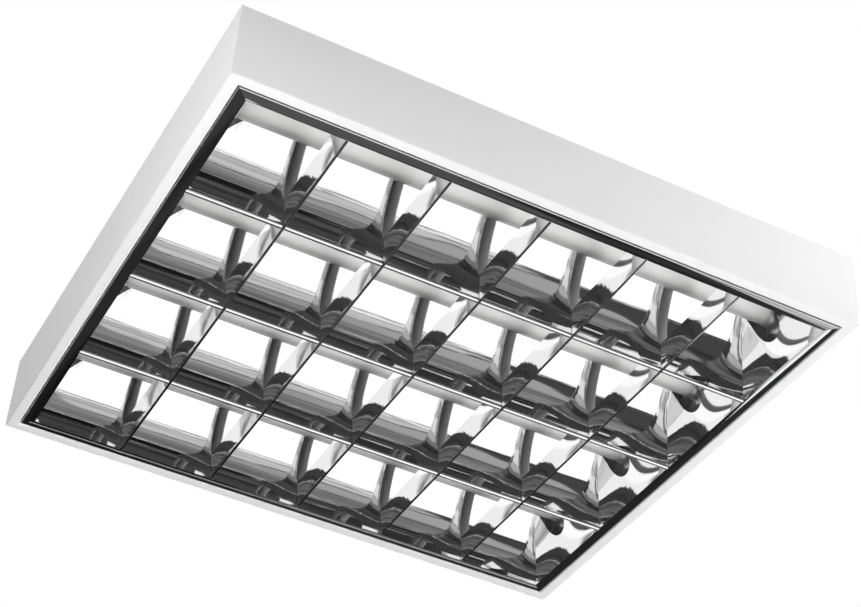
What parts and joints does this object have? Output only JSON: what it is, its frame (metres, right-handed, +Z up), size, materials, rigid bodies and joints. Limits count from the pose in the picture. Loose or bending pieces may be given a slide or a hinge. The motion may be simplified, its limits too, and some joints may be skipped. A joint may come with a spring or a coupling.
{
  "type": "surface-mounted louvre light fixture",
  "caption": "Shallow rectangular ceiling light fixture: white sheet-steel housing around tube lamps in curved mirror reflectors with a hinged mirror louvre.",
  "frame": {"origin": "centre of the housing's flat face that lies against the ceiling", "axes": "+X along the lamps, towards the louvre's free end; +Y across the lamps; +Z up into the ceiling"},
  "size_m": [0.64, 0.5872, 0.083],
  "materials": {
    "white_paint": "smooth semi-matt white powder coat",
    "mirror_aluminium": "bright anodised mirror, almost unblurred",
    "plain_steel": "bright zinc plated",
    "zinc_steel": "galvanised sheet with a faint spangle",
    "white_plastic": "moulded, fine matt",
    "ivory_plastic": "moulded, fine matt",
    "circuit_board": "solder mask over glass laminate",
    "black_rubber": "soft matt",
    "white_insulation": "extruded sleeve",
    "earth_insulation": "extruded sleeve, green and yellow",
    "lamp_glass": "glossy tube, white coated inside, not lit",
    "cap_aluminium": "drawn, satin"
  },
  "bodies": {
    "housing": {"housing_pan": "white_paint", "end_plate_left": "white_paint", "end_plate_right": "white_paint", "end_plate_rivets": "plain_steel", "lampholder_left_1": "white_plastic", "lampholder_left_2": "white_plastic", "lampholder_left_3": "white_plastic", "lampholder_left_4": "white_plastic", "lampholder_right_1": "white_plastic", "lampholder_right_2": "white_plastic", "lampholder_right_3": "white_plastic", "lampholder_right_4": "white_plastic", "ballast_base": "zinc_steel", "ballast_cover": "zinc_steel", "ballast_board": "circuit_board", "ballast_terminals": "ivory_plastic", "gear_screws": "plain_steel", "terminal_block": "ivory_plastic", "terminal_screws": "plain_steel", "earth_lead": "earth_insulation", "cable_grommet": "black_rubber", "lamp_wires_left": "white_insulation", "lamp_wires_right": "white_insulation", "supply_wires": "white_insulation", "hanger_guides": "zinc_steel", "louvre_catches": "plain_steel"},
    "hangers": {"hanger_straps": "plain_steel"},
    "louvre": {"rail_near": "mirror_aluminium", "rail_far": "mirror_aluminium", "rail_left": "mirror_aluminium", "rail_right": "mirror_aluminium", "side_reflector_near": "mirror_aluminium", "side_reflector_far": "mirror_aluminium", "row_reflector_1": "mirror_aluminium", "row_reflector_2": "mirror_aluminium", "row_reflector_3": "mirror_aluminium", "end_reflectors_left": "mirror_aluminium", "end_reflectors_right": "mirror_aluminium", "cross_blade_1": "mirror_aluminium", "cross_blade_2": "mirror_aluminium", "cross_blade_3": "mirror_aluminium", "cross_blade_4": "mirror_aluminium", "cross_blade_5": "mirror_aluminium", "corner_brackets": "zinc_steel", "hinge_lugs": "zinc_steel", "hinge_pins": "plain_steel", "catch_strikers": "zinc_steel"},
    "lamp_1": {"lamp_tube_1": "lamp_glass", "lamp_caps_1": "cap_aluminium", "lamp_rotors_1": "white_plastic"},
    "lamp_2": {"lamp_tube_2": "lamp_glass", "lamp_caps_2": "cap_aluminium", "lamp_rotors_2": "white_plastic"},
    "lamp_3": {"lamp_tube_3": "lamp_glass", "lamp_caps_3": "cap_aluminium", "lamp_rotors_3": "white_plastic"},
    "lamp_4": {"lamp_tube_4": "lamp_glass", "lamp_caps_4": "cap_aluminium", "lamp_rotors_4": "white_plastic"}
  },
  "joints": [
    {"name": "hanger_drop", "type": "slide", "parent": "housing", "child": "hangers", "axis": [0, 0, -1], "range_m": [0, 0.0419]},
    {"name": "louvre_swing", "type": "hinge", "parent": "hangers", "child": "louvre", "pos_m": [-0.3033, 0, -0.0785], "axis": [0, 1, 0], "range_deg": [0, 80]},
    {"name": "lamp_1_turn", "type": "hinge", "parent": "housing", "child": "lamp_1", "pos_m": [0, -0.20445, -0.023], "axis": [1, 0, 0], "range_deg": [0, 90]},
    {"name": "lamp_2_turn", "type": "hinge", "parent": "housing", "child": "lamp_2", "pos_m": [0, -0.06815, -0.023], "axis": [1, 0, 0], "range_deg": [0, 90]},
    {"name": "lamp_3_turn", "type": "hinge", "parent": "housing", "child": "lamp_3", "pos_m": [0, 0.06815, -0.023], "axis": [1, 0, 0], "range_deg": [0, 90]},
    {"name": "lamp_4_turn", "type": "hinge", "parent": "housing", "child": "lamp_4", "pos_m": [0, 0.20445, -0.023], "axis": [1, 0, 0], "range_deg": [0, 90]}
  ],
  "couplings": [
    {"joint": "hanger_drop", "follows": "louvre_swing", "m_per_rad": 0.03}
  ]
}
